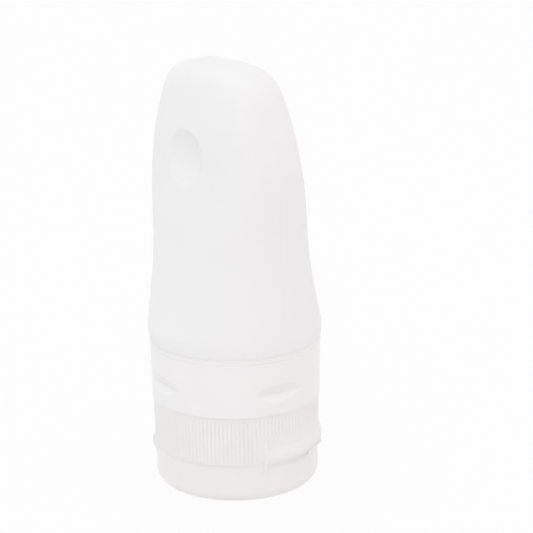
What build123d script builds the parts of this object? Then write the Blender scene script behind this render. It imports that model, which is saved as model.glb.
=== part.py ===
"""Travel squeeze bottle: a soft silicone bottle that stands upside down on its flip cap.

Millimetres. +Z is up with the bottle standing on its lid. The origin is the middle of the lid's
flat face. X runs along the long axis of the flattened silicone, and the suction cup faces -Y.
"""

import math
import os

from build123d import *

# How the pieces stack up from the surface that the lid stands on.
lid_height = 11.9
parting_gap = 0.2
skirt_height = 14.7
collar_gap = 0.2
collar_height = 18.0
shoulder_height = 4.0
upper_height = 78.4

# Clearances between pieces.
fit_clearance = 0.05
running_clearance = 0.08
snap_clearance = 0.3
cut_overrun = 5.0

# Collar that clamps the silicone on the neck. Its top radius sets every other radius.
collar_top_radius = 25.3
collar_taper = 0.3
collar_band_height = 1.5
collar_band_step = 0.1
collar_groove_depth = 0.3
collar_groove_width = 0.25
collar_wall = 1.65
collar_lip_thickness = 1.4
collar_top_lip_thickness = 2.2
collar_edge_round = 0.35

# Finger notches in the collar.
notch_count = 4
notch_angle = -6.5
notch_depth = 1.2
notch_centre_height = 6.15
notch_upper_height = 3.1
notch_lower_height = 2.5

# Silicone bottle.
shoulder_stand = 0.45
shoulder_swell = 1.05
shoulder_bulge_share = 0.68
shoulder_level_share = 0.36
mouth_wall = 2.55
groove_depth = 1.15
hollow_lead = 0.6
silicone_wall = 2.6
crown_wall = 3.0
silicone_lean = 2.85
crown_start_share = 0.828
crown_power = 4.0
crown_step_shares = (0.35, 0.6, 0.78, 0.9, 0.965, 0.992, 0.999)
square_power_foot = 2.0
square_power_top = 3.0
square_full_share = 0.6
section_points = 16
# Height, half length and half width of the flattened silicone, as shares of the upper height
# and of the shoulder's radius. The last row is the start of the domed closed end.
section_shares = (
    (0.0, 1.0, 1.0),
    (0.115, 0.983, 0.882),
    (0.268, 0.963, 0.753),
    (0.446, 0.975, 0.668),
    (0.624, 0.983, 0.579),
    (0.745, 0.913, 0.544),
    (0.828, 0.847, 0.500),
)
crown_length_share = 0.713
crown_width_share = 0.368

# Suction cup moulded into the silicone.
cup_height_share = 0.665
cup_radius = 8.2
cup_depth = 3.0
cup_tilt = 7.3

# Hard neck inside the silicone's mouth.
sleeve_length = 13.4
sleeve_wall = 1.5
thread_wall = 2.0
barb_height = 0.5
barb_length = 1.5
barb_shares = (0.25, 0.6)
neck_end_round = 0.4
land_length = 1.6
flange_thickness = 1.6
flange_clearance = 0.15

# Screw cap.
skirt_set_in = 0.55
skirt_taper = 0.15
skirt_wall = 1.45
skirt_edge_round = 0.3
deck_thickness = 1.6
deck_recess = 0.3
snap_ring_height = 1.9
snap_ring_wall = 1.3

# Valve seat in the cap's deck.
seat_bore_radius = 8.0
seat_wall = 1.6
seat_drop = 4.2
seat_lip_thickness = 1.4
seat_lip_width = 2.4

# No-drip valve and the ring that holds it.
valve_flange_thickness = 1.2
valve_wall = 0.9
valve_dome_drop = 2.6
valve_dome_clearance = 0.3
retainer_height = 2.6
retainer_wall = 2.4
retainer_chamfer = 0.4

# Sealing ring between the neck's end and the cap's deck.
seal_thickness = 1.0
seal_overhang = 0.3
seal_clearance = 0.4

# Flip lid.
lid_set_in = 0.1
lid_taper = 0.25
lid_corner_radius = 4.0
lid_wall = 1.3
lid_floor = 1.5
lid_floor_round = 2.4
plug_ring_wall = 1.1
plug_ring_engagement = 1.0
plug_pad_radius = 3.2
plug_clearance = 0.25
pad_clearance = 0.3

# Hinge: a straight film between two lugs, with a raised smooth panel on each side of it.
hinge_angle = 30.0
hinge_panel_stand = 1.0
hinge_lug_set_in = 0.6
hinge_lug_width = 12.0
hinge_panel_angle = 46.0
hinge_slot_width = 1.35
skirt_panel_height = 5.1
skirt_panel_land = 0.5
lid_panel_height = 3.9
lid_panel_land = 0.6
lid_panel_bulge = 0.35
film_inner_radius = 0.3
film_thickness = 0.3

# Thumb lip, opposite the hinge.
thumb_stand = 1.4
thumb_angle = 27.0
thumb_height = 3.4
thumb_land = 1.4

# Radii worked out from the collar's, inwards through the neck and outwards to the lid.
collar_foot_radius = collar_top_radius - collar_taper
collar_bore_radius = collar_top_radius - collar_wall
collar_waist_radius = collar_bore_radius - groove_depth
shoulder_radius = collar_top_radius + shoulder_stand
shoulder_foot_radius = shoulder_radius - shoulder_swell
mouth_outer = collar_bore_radius - fit_clearance
mouth_inner = mouth_outer - mouth_wall
sleeve_radius = mouth_inner - fit_clearance
flange_radius = collar_bore_radius - flange_clearance
neck_bore_radius = sleeve_radius - sleeve_wall
thread_root_radius = neck_bore_radius + thread_wall
skirt_foot_radius = collar_foot_radius - skirt_set_in
skirt_top_radius = skirt_foot_radius + skirt_taper
skirt_bore_radius = skirt_foot_radius - skirt_wall
land_radius = skirt_bore_radius - running_clearance
lid_radius = skirt_foot_radius - lid_set_in
lid_rim_radius = lid_radius - lid_taper
lid_inner_radius = lid_rim_radius - lid_wall
snap_ring_radius = lid_inner_radius - snap_clearance
panel_reach = skirt_top_radius + hinge_panel_stand
hinge_reach = panel_reach - hinge_lug_set_in
thumb_reach = lid_rim_radius + thumb_stand
seal_inner_radius = neck_bore_radius + seal_overhang
seal_outer_radius = skirt_bore_radius - seal_clearance
seat_outer_radius = seat_bore_radius + seat_wall
spout_radius = seat_bore_radius - seat_lip_width
valve_dome_radius = spout_radius - valve_dome_clearance
hinge_slot_edge = hinge_lug_width / 2 + hinge_slot_width
hinge_slot_angle = math.degrees(math.asin(hinge_slot_edge / panel_reach))

# Levels worked out from the stack.
parting_level = lid_height + parting_gap / 2
skirt_foot = lid_height + parting_gap
skirt_top = skirt_foot + skirt_height
collar_foot = skirt_top + collar_gap
collar_top = collar_foot + collar_height
shoulder_foot = collar_top + fit_clearance
shoulder_top = collar_top + shoulder_height
body_top = shoulder_top + upper_height
deck_foot = skirt_foot + deck_recess
deck_top = deck_foot + deck_thickness
neck_end = deck_top + seal_thickness
flange_foot = collar_foot + collar_lip_thickness
flange_top = flange_foot + flange_thickness
sleeve_top = flange_top + sleeve_length
top_lip_foot = collar_top - collar_top_lip_thickness
seat_foot = deck_foot - seat_drop
seat_floor = seat_foot + seat_lip_thickness
valve_flange_top = seat_floor + valve_flange_thickness
valve_tip = seat_floor - valve_dome_drop
plug_root = lid_floor / 2


def turned(*edges):
    """Solid of revolution about Z of the closed outline that the edges make in the XZ plane."""
    return revolve(make_face(Plane.XZ * Curve(edges)), Axis.Z)


def swept_round(outline, start, sweep):
    """Outline in the XZ plane revolved from one angle through another about Z."""
    face = make_face(Plane.XZ * outline)
    return Rot(Z=start) * revolve(face, Axis.Z, sweep)


def ring(inner, outer, low, high):
    """Plain ring round Z."""
    hollow = Pos(Z=low - cut_overrun) * Cylinder(
        inner, high - low + 2 * cut_overrun, align=(Align.CENTER, Align.CENTER, Align.MIN)
    )
    return disc(outer, low, high) - hollow


def disc(radius, low, high):
    """Plain disc round Z."""
    return Pos(Z=low) * Cylinder(
        radius, high - low, align=(Align.CENTER, Align.CENTER, Align.MIN)
    )


def section_at(height_share, inset=0.0):
    """Half length, half width, lean and squareness of the silicone at a share of its height."""
    rows = section_shares
    pairs = [(low, high) for low, high in zip(rows, rows[1:]) if height_share <= high[0]]
    low, high = pairs[0]
    part = (height_share - low[0]) / (high[0] - low[0])
    length = shoulder_radius * (low[1] + part * (high[1] - low[1])) - inset
    width = shoulder_radius * (low[2] + part * (high[2] - low[2])) - inset
    lean = -silicone_lean * height_share
    rise = min(1, height_share / square_full_share)
    power = square_power_foot + (square_power_top - square_power_foot) * rise
    return length, width, lean, power


def section_face(length, width, lean, power, height):
    """Level face with a smooth edge between an ellipse and a rounded rectangle."""
    points = []
    for step in range(section_points):
        angle = 2 * math.pi * step / section_points
        along = math.cos(angle)
        across = math.sin(angle)
        reach = (abs(along) ** power + abs(across) ** power) ** (-1 / power)
        points.append((length * along * reach, width * across * reach + lean, height))
    return make_face(Spline(points, periodic=True))


def silicone_form(shoulder_rows, inset, top):
    """Round shoulder, flattened tube and domed end as one smooth form, taken in by the inset."""
    sections = []
    for radius, height in shoulder_rows:
        sections.append(section_face(radius, radius, 0, square_power_foot, height))
    for row in section_shares:
        height = shoulder_top + row[0] * upper_height
        sections.append(section_face(*section_at(row[0], inset), height))
    length, width, _, power = section_at(crown_start_share, inset)
    crown_foot = shoulder_top + crown_start_share * upper_height
    crown_rise = top - crown_foot
    end_length = shoulder_radius * crown_length_share - inset
    end_width = shoulder_radius * crown_width_share - inset
    for share in crown_step_shares:
        shrink = (1 - share**crown_power) ** (1 / crown_power)
        crown_length = (length + (end_length - length) * share) * shrink
        crown_width = (width + (end_width - width) * share) * shrink
        height = crown_foot + crown_rise * share
        lean = -silicone_lean * (height - shoulder_top) / upper_height
        sections.append(section_face(crown_length, crown_width, lean, power, height))
    return loft(sections)


def cup_ball(extra):
    """Ball whose surface is the suction cup's hollow, or the wall behind it when made larger."""
    ball_radius = (cup_radius**2 + cup_depth**2) / (2 * cup_depth)
    _, width, lean, _ = section_at(cup_height_share)
    height = shoulder_top + cup_height_share * upper_height
    stand_off = ball_radius - cup_depth
    tilt = math.radians(cup_tilt)
    centre = (
        0,
        lean - width - stand_off * math.cos(tilt),
        height + stand_off * math.sin(tilt),
    )
    return Pos(centre) * Sphere(ball_radius + extra)


def bottle_body():
    """Silicone bottle in one moulding: mouth, groove for the collar, shoulder and closed end."""
    groove_foot = top_lip_foot - fit_clearance
    shoulder_rise = shoulder_top - shoulder_foot
    bulge = shoulder_foot_radius + shoulder_swell * shoulder_bulge_share
    bulge_level = shoulder_foot + shoulder_rise * shoulder_level_share
    outer_rows = ((shoulder_foot_radius, shoulder_foot), (bulge, bulge_level))
    inner_rows = ((mouth_inner - hollow_lead, shoulder_foot),)
    outer = silicone_form(outer_rows, 0, body_top)
    outer += disc(collar_waist_radius, groove_foot, shoulder_foot)
    outer += disc(mouth_outer, flange_top, groove_foot)
    outer -= cup_ball(0)
    hollow = silicone_form(inner_rows, silicone_wall, body_top - crown_wall)
    hollow += disc(mouth_inner, flange_top - cut_overrun, shoulder_foot + shoulder_rise / 2)
    hollow -= cup_ball(silicone_wall)
    for share in barb_shares:
        hollow += neck_barb(share, fit_clearance)
    return outer - hollow


def neck_barb(share, extra):
    """Saw-tooth ridge round the neck's sleeve, or the groove that it presses into the silicone."""
    foot = flange_top + share * sleeve_length
    reach = sleeve_radius + barb_height + extra
    root = sleeve_radius - fit_clearance
    return turned(
        Line((root, foot - extra), (reach, foot - extra)),
        Line((reach, foot - extra), (root, foot + barb_length + extra)),
        Line((root, foot + barb_length + extra), (root, foot - extra)),
    )


def neck_insert():
    """Threaded hard neck with the sleeve that holds the silicone's mouth open."""
    land_foot = skirt_top - land_length
    body = disc(thread_root_radius, neck_end, land_foot)
    body += disc(land_radius, land_foot, flange_foot)
    body += disc(flange_radius, flange_foot, flange_top)
    body += disc(sleeve_radius, flange_top, sleeve_top)
    for share in barb_shares:
        body += neck_barb(share, 0)
    body -= disc(neck_bore_radius, neck_end - cut_overrun, sleeve_top + cut_overrun)
    rims = body.edges().filter_by(GeomType.CIRCLE)
    top_rims = [rim for rim in rims if abs(rim.center().Z - sleeve_top) < fit_clearance]
    return fillet(top_rims, neck_end_round)


def notch_wedge():
    """Triangular bar that cuts one finger notch: a steep upper face and a short lower one."""
    crease = collar_foot_radius - notch_depth + notch_depth * notch_centre_height / collar_height
    level = collar_foot + notch_centre_height
    reach = 2 * notch_depth
    outline = make_face(
        Plane.XZ
        * Polyline(
            (crease, level),
            (crease + reach, level + 2 * notch_upper_height),
            (crease + reach, level - 2 * notch_lower_height),
            close=True,
        )
    )
    return extrude(outline, collar_foot_radius, both=True)


def grip_collar():
    """Collar pressed round the silicone's mouth, with four finger notches and a top band."""
    band_foot = collar_top - collar_band_height
    groove_foot = band_foot - collar_groove_width
    band_radius = collar_top_radius + collar_band_step
    groove_radius = collar_top_radius - collar_groove_depth
    lip_radius = land_radius + running_clearance + fit_clearance
    top_lip_radius = collar_waist_radius + fit_clearance
    body = turned(
        Line((lip_radius, collar_foot), (collar_foot_radius, collar_foot)),
        Line((collar_foot_radius, collar_foot), (collar_top_radius, groove_foot)),
        Line((collar_top_radius, groove_foot), (groove_radius, groove_foot)),
        Line((groove_radius, groove_foot), (groove_radius, band_foot)),
        Line((groove_radius, band_foot), (band_radius, band_foot)),
        Line((band_radius, band_foot), (band_radius, collar_top - collar_edge_round)),
        TangentArc(
            (band_radius, collar_top - collar_edge_round),
            (band_radius - collar_edge_round, collar_top),
            tangent=(0, 1),
        ),
        Line((band_radius - collar_edge_round, collar_top), (top_lip_radius, collar_top)),
        Line((top_lip_radius, collar_top), (top_lip_radius, top_lip_foot)),
        Line((top_lip_radius, top_lip_foot), (collar_bore_radius, top_lip_foot)),
        Line((collar_bore_radius, top_lip_foot), (collar_bore_radius, flange_foot)),
        Line((collar_bore_radius, flange_foot), (lip_radius, flange_foot)),
        Line((lip_radius, flange_foot), (lip_radius, collar_foot)),
    )
    for step in range(notch_count):
        body -= Rot(Z=notch_angle + 360 * step / notch_count) * notch_wedge()
    return body


def neck_seal():
    """Flat sealing ring that the cap's deck presses on the neck's end."""
    return ring(seal_inner_radius, seal_outer_radius, deck_top, neck_end)


def hinge_panels(outline):
    """The raised smooth panel on each side of the hinge, from an outline in the XZ plane."""
    span = hinge_panel_angle - hinge_slot_angle
    right = swept_round(outline, hinge_angle - hinge_panel_angle, span)
    left = swept_round(outline, hinge_angle + hinge_slot_angle, span)
    return right + left


def hinge_lug(outline):
    """The flat-faced lug that carries the straight film, from an outline in the XZ plane."""
    lug = extrude(make_face(Plane.XZ * outline), hinge_lug_width / 2, both=True)
    return Rot(Z=hinge_angle) * lug


def skirt_swell(reach):
    """Outline of the skirt's swelling round the hinge, which reaches out at the parting line."""
    land_top = skirt_foot + skirt_panel_land
    panel_top = skirt_foot + skirt_panel_height
    root = (skirt_bore_radius + skirt_foot_radius) / 2
    return Polyline(
        (root, skirt_foot),
        (reach, skirt_foot),
        (reach, land_top),
        (skirt_foot_radius, panel_top),
        (root, panel_top),
        close=True,
    )


def screw_cap():
    """Ribbed screw cap: skirt, deck, snap ring for the lid and the seat of the valve."""
    deck_edge = snap_ring_radius - snap_ring_wall
    ring_foot = deck_foot - snap_ring_height
    body = turned(
        Line((spout_radius, seat_foot), (seat_outer_radius, seat_foot)),
        Line((seat_outer_radius, seat_foot), (seat_outer_radius, deck_foot)),
        Line((seat_outer_radius, deck_foot), (deck_edge, deck_foot)),
        Line((deck_edge, deck_foot), (deck_edge, ring_foot)),
        Line((deck_edge, ring_foot), (snap_ring_radius, ring_foot)),
        Line((snap_ring_radius, ring_foot), (snap_ring_radius, skirt_foot)),
        Line((snap_ring_radius, skirt_foot), (skirt_foot_radius, skirt_foot)),
        Line((skirt_foot_radius, skirt_foot), (skirt_top_radius, skirt_top - skirt_edge_round)),
        TangentArc(
            (skirt_top_radius, skirt_top - skirt_edge_round),
            (skirt_top_radius - skirt_edge_round, skirt_top),
            tangent=(0, 1),
        ),
        Line((skirt_top_radius - skirt_edge_round, skirt_top), (skirt_bore_radius, skirt_top)),
        Line((skirt_bore_radius, skirt_top), (skirt_bore_radius, deck_top)),
        Line((skirt_bore_radius, deck_top), (seat_bore_radius, deck_top)),
        Line((seat_bore_radius, deck_top), (seat_bore_radius, seat_floor)),
        Line((seat_bore_radius, seat_floor), (spout_radius, seat_floor)),
        Line((spout_radius, seat_floor), (spout_radius, seat_foot)),
    )
    return body + hinge_panels(skirt_swell(panel_reach)) + hinge_lug(skirt_swell(hinge_reach))


def dome_arc(radius, drop):
    """Arc of a shallow dome that hangs from the seat's floor, from its edge to its tip."""
    ball_radius = (radius**2 + drop**2) / (2 * drop)
    middle_radius = radius / 2
    middle_rise = ball_radius - math.sqrt(ball_radius**2 - middle_radius**2)
    edge = (radius, seat_floor)
    middle = (middle_radius, seat_floor - drop + middle_rise)
    return ThreePointArc(edge, middle, (0, seat_floor - drop))


def dispensing_valve():
    """Silicone valve: a thin dome that bulges out through the spout, on a clamped flange."""
    flange_edge = seat_bore_radius - fit_clearance
    inner_radius = valve_dome_radius - valve_wall
    inner_drop = valve_dome_drop - valve_wall
    return turned(
        dome_arc(valve_dome_radius, valve_dome_drop),
        Line((0, valve_tip), (0, seat_floor - inner_drop)),
        dome_arc(inner_radius, inner_drop),
        Line((inner_radius, seat_floor), (inner_radius, valve_flange_top)),
        Line((inner_radius, valve_flange_top), (flange_edge, valve_flange_top)),
        Line((flange_edge, valve_flange_top), (flange_edge, seat_floor)),
        Line((flange_edge, seat_floor), (valve_dome_radius, seat_floor)),
    )


def valve_retainer():
    """Hard ring pushed into the seat on top of the valve's flange."""
    outer = seat_bore_radius - fit_clearance
    body = ring(outer - retainer_wall, outer, valve_flange_top, valve_flange_top + retainer_height)
    rims = body.edges().filter_by(GeomType.CIRCLE)
    top = valve_flange_top + retainer_height
    top_rims = [rim for rim in rims if abs(rim.center().Z - top) < fit_clearance]
    return chamfer(top_rims, retainer_chamfer)


def hinge_film():
    """Thin arched web that joins the cap's lug to the lid's lug and bends as the lid opens."""
    outer = film_inner_radius + film_thickness
    web = Cylinder(outer, hinge_lug_width, rotation=(90, 0, 0))
    web -= Cylinder(film_inner_radius, hinge_lug_width + cut_overrun, rotation=(90, 0, 0))
    half = Pos(X=cut_overrun / 2) * Box(
        cut_overrun, hinge_lug_width + cut_overrun, 2 * (outer + fit_clearance)
    )
    return Rot(Z=hinge_angle) * Pos(hinge_reach, 0, parting_level) * (web & half)


def lid_swell(reach):
    """Outline of the lid's swelling round the hinge, which reaches out at the parting line."""
    root = (lid_rim_radius + lid_inner_radius) / 2
    panel_foot = lid_height - lid_panel_height
    land_foot = lid_height - lid_panel_land
    bulge_radius = (lid_rim_radius + reach) / 2 + lid_panel_bulge
    bulge_level = (panel_foot + land_foot) / 2 - lid_panel_bulge
    return Curve(
        [
            Line((root, lid_height), (reach, lid_height)),
            Line((reach, lid_height), (reach, land_foot)),
            ThreePointArc(
                (reach, land_foot),
                (bulge_radius, bulge_level),
                (lid_rim_radius, panel_foot),
            ),
            Line((lid_rim_radius, panel_foot), (root, panel_foot)),
            Line((root, panel_foot), (root, lid_height)),
        ]
    )


def flip_lid():
    """Lid that the bottle stands on: flat floor, round corner, plug ring, hinge and thumb lip."""
    corner_top = (lid_radius, lid_corner_radius)
    corner_foot = (lid_radius - lid_corner_radius, 0)
    shell = turned(
        Line((0, 0), corner_foot),
        TangentArc(corner_foot, corner_top, tangent=(1, 0)),
        Line(corner_top, (lid_rim_radius, lid_height)),
        Line((lid_rim_radius, lid_height), (lid_inner_radius, lid_height)),
        Line((lid_inner_radius, lid_height), (lid_inner_radius, lid_floor + lid_floor_round)),
        TangentArc(
            (lid_inner_radius, lid_floor + lid_floor_round),
            (lid_inner_radius - lid_floor_round, lid_floor),
            tangent=(0, -1),
        ),
        Line((lid_inner_radius - lid_floor_round, lid_floor), (0, lid_floor)),
        Line((0, lid_floor), (0, 0)),
    )
    plug_inner = seat_outer_radius + plug_clearance
    plug_top = seat_foot + plug_ring_engagement
    shell += ring(plug_inner, plug_inner + plug_ring_wall, plug_root, plug_top)
    shell += disc(plug_pad_radius, plug_root, valve_tip - pad_clearance)
    thumb_foot = lid_height - thumb_height
    root = (lid_rim_radius + lid_inner_radius) / 2
    thumb = Polyline(
        (root, lid_height),
        (thumb_reach, lid_height),
        (thumb_reach, lid_height - thumb_land),
        (lid_rim_radius, thumb_foot),
        (root, thumb_foot),
        close=True,
    )
    thumb_lip = swept_round(thumb, hinge_angle + 180 - thumb_angle, 2 * thumb_angle)
    sides = hinge_panels(lid_swell(panel_reach))
    return shell + sides + hinge_lug(lid_swell(hinge_reach)) + thumb_lip


pieces = {
    "bottle_body": bottle_body,
    "neck_insert": neck_insert,
    "grip_collar": grip_collar,
    "neck_seal": neck_seal,
    "screw_cap": screw_cap,
    "dispensing_valve": dispensing_valve,
    "valve_retainer": valve_retainer,
    "hinge_film": hinge_film,
    "flip_lid": flip_lid,
}

os.makedirs("parts", exist_ok=True)
for name, build in pieces.items():
    solid = build()
    export_step(solid, f"parts/{name}.step")
    box = solid.bounding_box()
    print(f"{name}: {solid.volume:.0f} mm3, z {box.min.Z:.2f} to {box.max.Z:.2f}")
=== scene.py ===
# %% [markdown]
# # A soft travel bottle that stands on its flip cap
# The bottle is a thick silicone tube, flattened towards a domed end. A hard threaded neck holds
# its mouth open, a collar clamps the silicone on the neck, and a ribbed screw cap carries a lid
# on a living hinge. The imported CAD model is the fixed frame: it gives every place and every
# joint. Here each piece gets its finished surface, its material and its light.

# %% Load the frame
import math

import bmesh
import bpy
import numpy as np
from mathutils import Matrix, Vector


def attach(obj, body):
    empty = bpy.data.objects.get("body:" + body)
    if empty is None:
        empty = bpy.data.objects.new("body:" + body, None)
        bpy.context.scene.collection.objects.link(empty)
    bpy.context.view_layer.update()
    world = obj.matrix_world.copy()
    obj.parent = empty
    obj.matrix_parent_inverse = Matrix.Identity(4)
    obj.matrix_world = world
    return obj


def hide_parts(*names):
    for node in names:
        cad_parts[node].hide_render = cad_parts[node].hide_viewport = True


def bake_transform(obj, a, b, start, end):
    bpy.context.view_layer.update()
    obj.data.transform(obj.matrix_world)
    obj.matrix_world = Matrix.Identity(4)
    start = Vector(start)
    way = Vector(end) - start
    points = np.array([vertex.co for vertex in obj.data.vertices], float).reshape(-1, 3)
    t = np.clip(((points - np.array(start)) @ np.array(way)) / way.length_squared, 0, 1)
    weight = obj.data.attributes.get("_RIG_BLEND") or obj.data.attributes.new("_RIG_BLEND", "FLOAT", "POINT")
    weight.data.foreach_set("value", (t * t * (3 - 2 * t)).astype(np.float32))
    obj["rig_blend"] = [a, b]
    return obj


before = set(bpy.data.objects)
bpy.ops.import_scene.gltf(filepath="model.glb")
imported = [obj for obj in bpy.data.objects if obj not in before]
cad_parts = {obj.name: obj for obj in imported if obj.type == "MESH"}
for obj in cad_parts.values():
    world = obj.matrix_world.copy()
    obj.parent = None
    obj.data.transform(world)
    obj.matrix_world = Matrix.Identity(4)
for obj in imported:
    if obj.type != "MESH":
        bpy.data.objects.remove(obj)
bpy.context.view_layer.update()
MM = 0.001
print("nodes:", sorted(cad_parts))

# %% [markdown]
# ## Units and colours
# The real sizes are in millimetres and Blender works in metres, so lengths are written in
# millimetres and multiplied by MM once. Colours are picked as sRGB hex values, as on a screen,
# but shaders mix light in linear values, so one function turns the one into the other.


# %% Colour helper
def linear(hex_colour):
    """sRGB hex text to the linear RGBA that a shader socket takes."""
    channels = [int(hex_colour[i : i + 2], 16) / 255 for i in (1, 3, 5)]
    light = [c / 12.92 if c <= 0.04045 else ((c + 0.055) / 1.055) ** 2.4 for c in channels]
    return (*light, 1.0)


print("mid grey is", [round(c, 3) for c in linear("#808080")])


# %% [markdown]
# ## One way to add a node
# Materials and Geometry Nodes are both node trees. This helper adds one node, sets its
# properties, and then fills each input either with a plain value or with a link from another
# node's output. Inputs are named by their label or their number.


# %% Node helper
def add_node(tree, kind, inputs=None, **settings):
    """Adds a node with its settings, and sets or links its inputs."""
    made = tree.nodes.new(kind)
    for key, value in settings.items():
        setattr(made, key, value)
    for key, value in (inputs or {}).items():
        if isinstance(value, bpy.types.NodeSocket):
            tree.links.new(value, made.inputs[key])
        else:
            made.inputs[key].default_value = value
    return made


def new_material(name):
    """Empty node material with its output node, and the tree to fill."""
    material = bpy.data.materials.new(name)
    material.use_nodes = True
    material.node_tree.nodes.clear()
    output = add_node(material.node_tree, "ShaderNodeOutputMaterial")
    return material, material.node_tree, output


print("helpers ready")

# %% [markdown]
# ## Moulded silicone
# Translucent silicone is milky: light enters it, scatters inside and comes out softened. A
# Principled shader with subsurface scattering gives that. The scattering distance is kept short,
# because a long one darkened the edges. The mould's surface is spark-eroded to a fine matte grain,
# so the gloss is broad. Slow cloudy variation of a few percent keeps the colour from looking
# painted.


# %% Silicone material
def clouded_plastic(name, light, dark, cloud_mm, grain_mm, grain_depth, rough, spread, **plain):
    """Plastic with slow colour clouds, a fine moulded grain and a little scattering inside."""
    material, tree, output = new_material(name)
    place = add_node(tree, "ShaderNodeTexCoord").outputs["Object"]
    cloud = add_node(tree, "ShaderNodeTexNoise", {
        "Vector": place, "Scale": 1 / (cloud_mm * MM), "Detail": 2.0, "Roughness": 0.45,
    })
    tint = add_node(tree, "ShaderNodeMix", {
        "Factor": cloud.outputs["Fac"], "A": linear(light), "B": linear(dark),
    }, data_type="RGBA")
    shine = add_node(tree, "ShaderNodeMapRange", {
        "Value": cloud.outputs["Fac"], "To Min": rough - spread, "To Max": rough + spread,
    })
    grain = add_node(tree, "ShaderNodeTexNoise", {
        "Vector": place, "Scale": 1 / (grain_mm * MM), "Detail": 1.0,
    })
    bump = add_node(tree, "ShaderNodeBump", {
        "Height": grain.outputs["Fac"], "Distance": grain_depth * MM, "Strength": 0.5,
    })
    shader = add_node(tree, "ShaderNodeBsdfPrincipled", {
        "Base Color": tint.outputs[2],
        "Roughness": shine.outputs["Result"],
        "Normal": bump.outputs["Normal"],
        **plain,
    })
    tree.links.new(shader.outputs["BSDF"], output.inputs["Surface"])
    return material


def scattering(weight, distance_mm, colour=(1.0, 1.0, 1.0)):
    """Inputs that say how much light scatters inside, how far, and how far each colour goes."""
    return {
        "Subsurface Weight": weight,
        "Subsurface Scale": distance_mm * MM,
        "Subsurface Radius": colour,
    }


silicone = clouded_plastic(
    "moulded_silicone", light="#F5F5F5", dark="#F1F1F2", cloud_mm=18, grain_mm=0.5,
    grain_depth=0.02, rough=0.46, spread=0.04, IOR=1.41,
    **scattering(0.4, 0.6), **{"Specular IOR Level": 0.4},
)
seal_silicone = clouded_plastic(
    "moulded_seal_silicone", light="#ECECEC", dark="#E2E2E4", cloud_mm=6, grain_mm=0.4,
    grain_depth=0.015, rough=0.5, spread=0.04, IOR=1.41, **scattering(0.4, 2.0),
)
print("made", silicone.name, seal_silicone.name)

# %% [markdown]
# ## Injection-moulded polypropylene
# The collar and the neck are white pigmented polypropylene: opaque, smooth and a little waxy, with
# a clearer highlight than the silicone's. The cap and lid are natural polypropylene, which has no
# pigment and is cloudy and slightly warm, so it lets some light through its thin walls. Both use
# the same tree as the silicone with other numbers.

# %% Polypropylene materials
moulding = {"grain_mm": 0.8, "grain_depth": 0.008, "IOR": 1.49}
white_polypropylene = clouded_plastic(
    "injection_moulded_white_polypropylene", light="#F6F5F5", dark="#F1F1F1", cloud_mm=14,
    rough=0.3, spread=0.03, **moulding, **scattering(0.2, 1.2),
)
natural_polypropylene = clouded_plastic(
    "injection_moulded_natural_polypropylene", light="#F5F3F2", dark="#EFEDEC", cloud_mm=12,
    rough=0.34, spread=0.04, **moulding, **scattering(0.25, 1.5, colour=(1.0, 0.97, 0.95)),
)
print("made", white_polypropylene.name, natural_polypropylene.name)

# %% [markdown]
# The grip ribs lie on the skirt as a thin skin of their own mesh. Light that scatters inside such a
# thin bar would get lost between the two meshes and leave the ribs dark, so they take the same
# plastic without scattering.

# %% Rib material
rib_polypropylene = clouded_plastic(
    "injection_moulded_natural_polypropylene_ribs", light="#F5F4F3", dark="#F0EFED", cloud_mm=12,
    rough=0.38, spread=0.04, **moulding,
)
print("made", rib_polypropylene.name)

# %% [markdown]
# ## The camera
# The photograph was taken with a long lens from 0.7 m away, looking down 19.5 degrees. The bottle's
# X axis points 37 degrees to the right of the camera. The bottle stands left of and a little below
# the picture's middle, so the camera looks at a point beside it. It is rolled by 0.9 degrees.


# %% Camera
def new_object(name, data):
    """Object that carries this data, linked into the scene."""
    made = bpy.data.objects.new(name, data)
    bpy.context.scene.collection.objects.link(made)
    return made


camera_azimuth = math.radians(53)
camera_elevation = math.radians(19.5)
camera_roll = math.radians(0.9)
camera_distance = 700
fitted_point = Vector((0, 0, 36))
aim_right, aim_up = 9.8, 28.05
picture_right = Vector((math.cos(camera_azimuth), math.sin(camera_azimuth), 0))
to_camera = Vector((
    math.sin(camera_azimuth) * math.cos(camera_elevation),
    -math.cos(camera_azimuth) * math.cos(camera_elevation),
    math.sin(camera_elevation),
))
picture_up = to_camera.cross(picture_right)
aim = fitted_point + aim_right * picture_right + aim_up * picture_up
camera = new_object("camera", bpy.data.cameras.new("camera"))
camera.data.lens = 158.4
camera.data.sensor_width = 36
camera.data.clip_start = 0.01
camera.location = (fitted_point + camera_distance * to_camera) * MM
look = (aim * MM - camera.location).to_track_quat("-Z", "Y")
camera.rotation_mode = "QUATERNION"
camera.rotation_quaternion = look @ Matrix.Rotation(-camera_roll, 3, "Z").to_quaternion()
bpy.context.scene.camera = camera
print("camera at", [round(v, 3) for v in camera.location])

# %% [markdown]
# ## Sizes shared by several pieces
# These repeat the CAD model's stack, from the surface that the lid stands on up to the closed end,
# and the radii that neighbouring pieces share. All are millimetres, and angles are degrees.

# %% Shared sizes
lid_top = 11.98
skirt_foot = 12.01
deck_foot = 12.4
deck_top = 14.0
neck_end = 15.0
skirt_top = 26.96
collar_foot = 27.0
flange_top = 30.0
sleeve_top = 43.4
collar_top = 45.0
shoulder_top = 49.0
body_top = 127.38
skirt_bore = 23.0
thread_root = 21.5
hinge_angle = 30.0
hinge_reach = 25.0
hinge_level = 12.0
hinge_half_width = 6.0
panel_half_angle = 46.0
print("the bottle is", body_top, "mm tall")

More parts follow.
